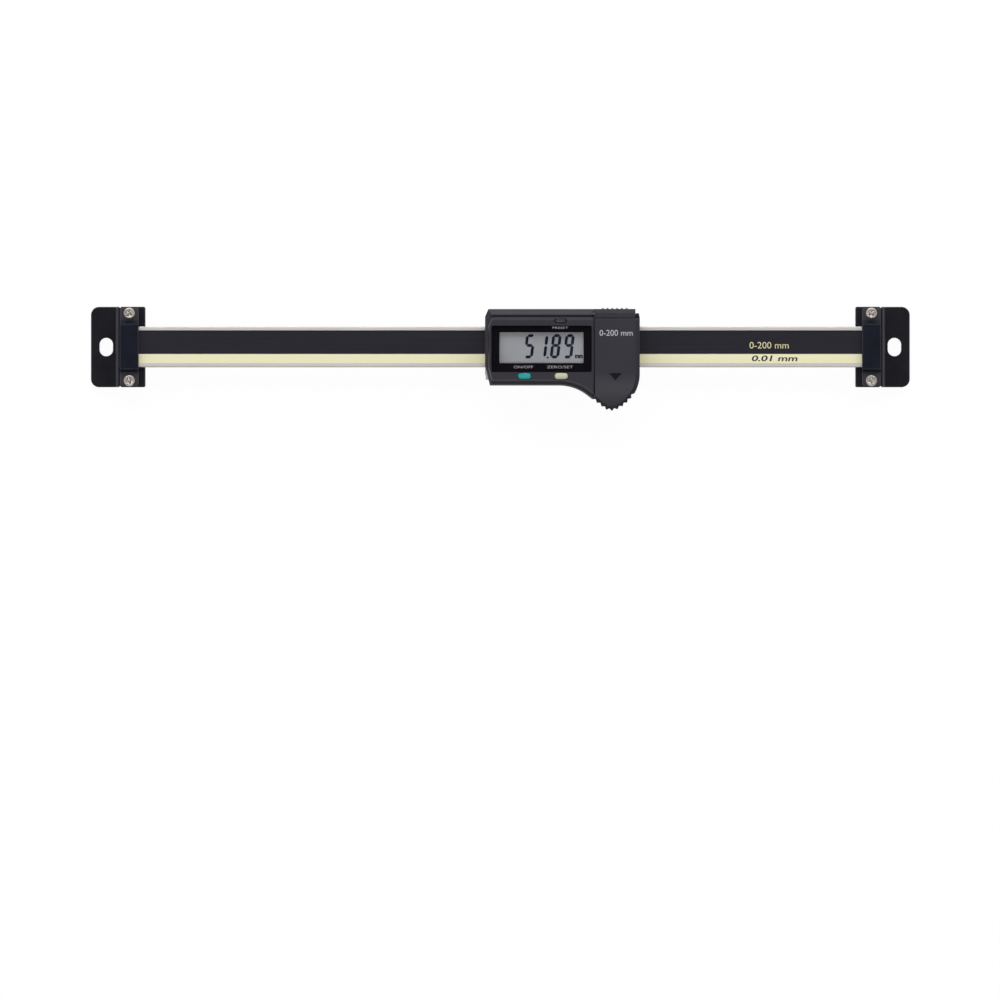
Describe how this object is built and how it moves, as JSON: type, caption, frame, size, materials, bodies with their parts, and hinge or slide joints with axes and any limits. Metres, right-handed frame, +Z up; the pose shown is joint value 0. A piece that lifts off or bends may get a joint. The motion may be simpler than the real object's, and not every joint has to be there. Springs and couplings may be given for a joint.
{
  "type": "digital linear scale",
  "caption": "Flat beam clamped between two slotted feet, with a sliding digital readout that shows its position along the beam.",
  "frame": {"origin": "midway between the two mounting slots, on the plane of the feet's undersides", "axes": "+X along the beam towards the battery-lid end of the slider, +Y across the beam away from the thumb lobe, +Z up from the mounting plane towards the display"},
  "size_m": [0.322, 0.0409, 0.017],
  "materials": {
    "beam_steel": "ground and brushed stainless steel",
    "substrate": "glass-filled laminate carrying the capacitive pattern",
    "cover_film": "dark printed film",
    "index_film": "pale cream printed film",
    "foot_black": "black oxide finished steel",
    "screw_steel": "bright nickel plated",
    "frame_steel": "satin stainless steel",
    "gib_bronze": "rolled bronze",
    "cover_abs": "fine moulded texture, dark grey",
    "mask_black": "black back print",
    "lens_acrylic": "clear hard-coated acrylic",
    "lcd_grey": "grey reflective display",
    "holder_plastic": "natural moulded plastic",
    "strip_rubber": "striped conductive rubber",
    "board_green": "solder mask",
    "chip_black": "moulded package",
    "cell_steel": "drawn steel can",
    "contact_metal": "sprung phosphor bronze",
    "port_black": "moulded",
    "dome_steel": "stamped",
    "teal_key": "teal moulded",
    "cream_key": "pale yellow moulded",
    "black_key": "black moulded"
  },
  "bodies": {
    "rail": {"main_beam": "beam_steel", "scale_substrate": "substrate", "scale_cover_film": "cover_film", "index_band": "index_film", "left_end_foot": "foot_black", "right_end_foot": "foot_black", "left_end_clamp": "foot_black", "right_end_clamp": "foot_black", "clamp_screws": "screw_steel"},
    "slider": {"slider_frame": "frame_steel", "slider_back_plate": "frame_steel", "body_screws": "screw_steel", "gib_strip": "gib_bronze", "gib_screws": "screw_steel", "front_cover": "cover_abs", "window_mask": "mask_black", "window_lens": "lens_acrylic", "lcd_glass": "lcd_grey", "lcd_holder": "holder_plastic", "lcd_contact_strips": "strip_rubber", "reader_board": "board_green", "controller_chip": "chip_black", "battery_cell": "cell_steel", "battery_contact_plus": "contact_metal", "battery_contact_minus": "contact_metal", "data_connector": "port_black", "on_off_dome": "dome_steel", "zero_dome": "dome_steel", "origin_dome": "dome_steel"},
    "on_off_key": {"on_off_button": "teal_key"},
    "zero_key": {"zero_button": "cream_key"},
    "origin_key": {"origin_button": "black_key"},
    "battery_door": {"battery_lid": "cover_abs"},
    "data_door": {"data_port_cover": "cover_abs"}
  },
  "joints": [
    {"name": "slider_travel", "type": "slide", "parent": "rail", "child": "slider", "axis": [1, 0, 0], "range_m": [-0.133, 0.084]},
    {"name": "on_off_press", "type": "slide", "parent": "slider", "child": "on_off_key", "axis": [0, 0, -1], "range_m": [0, 0.0005], "stiffness_N_per_m": 1500, "deforming": ["on_off_dome"]},
    {"name": "zero_press", "type": "slide", "parent": "slider", "child": "zero_key", "axis": [0, 0, -1], "range_m": [0, 0.0005], "stiffness_N_per_m": 1500, "deforming": ["zero_dome"]},
    {"name": "origin_press", "type": "slide", "parent": "slider", "child": "origin_key", "axis": [0, 0, -1], "range_m": [0, 0.0004], "stiffness_N_per_m": 1500, "deforming": ["origin_dome"]},
    {"name": "battery_lid_slide", "type": "slide", "parent": "slider", "child": "battery_door", "axis": [0, -1, 0], "range_m": [0, 0.038]},
    {"name": "data_cover_pull", "type": "slide", "parent": "slider", "child": "data_door", "axis": [0, 1, 0], "range_m": [0, 0.01]}
  ]
}
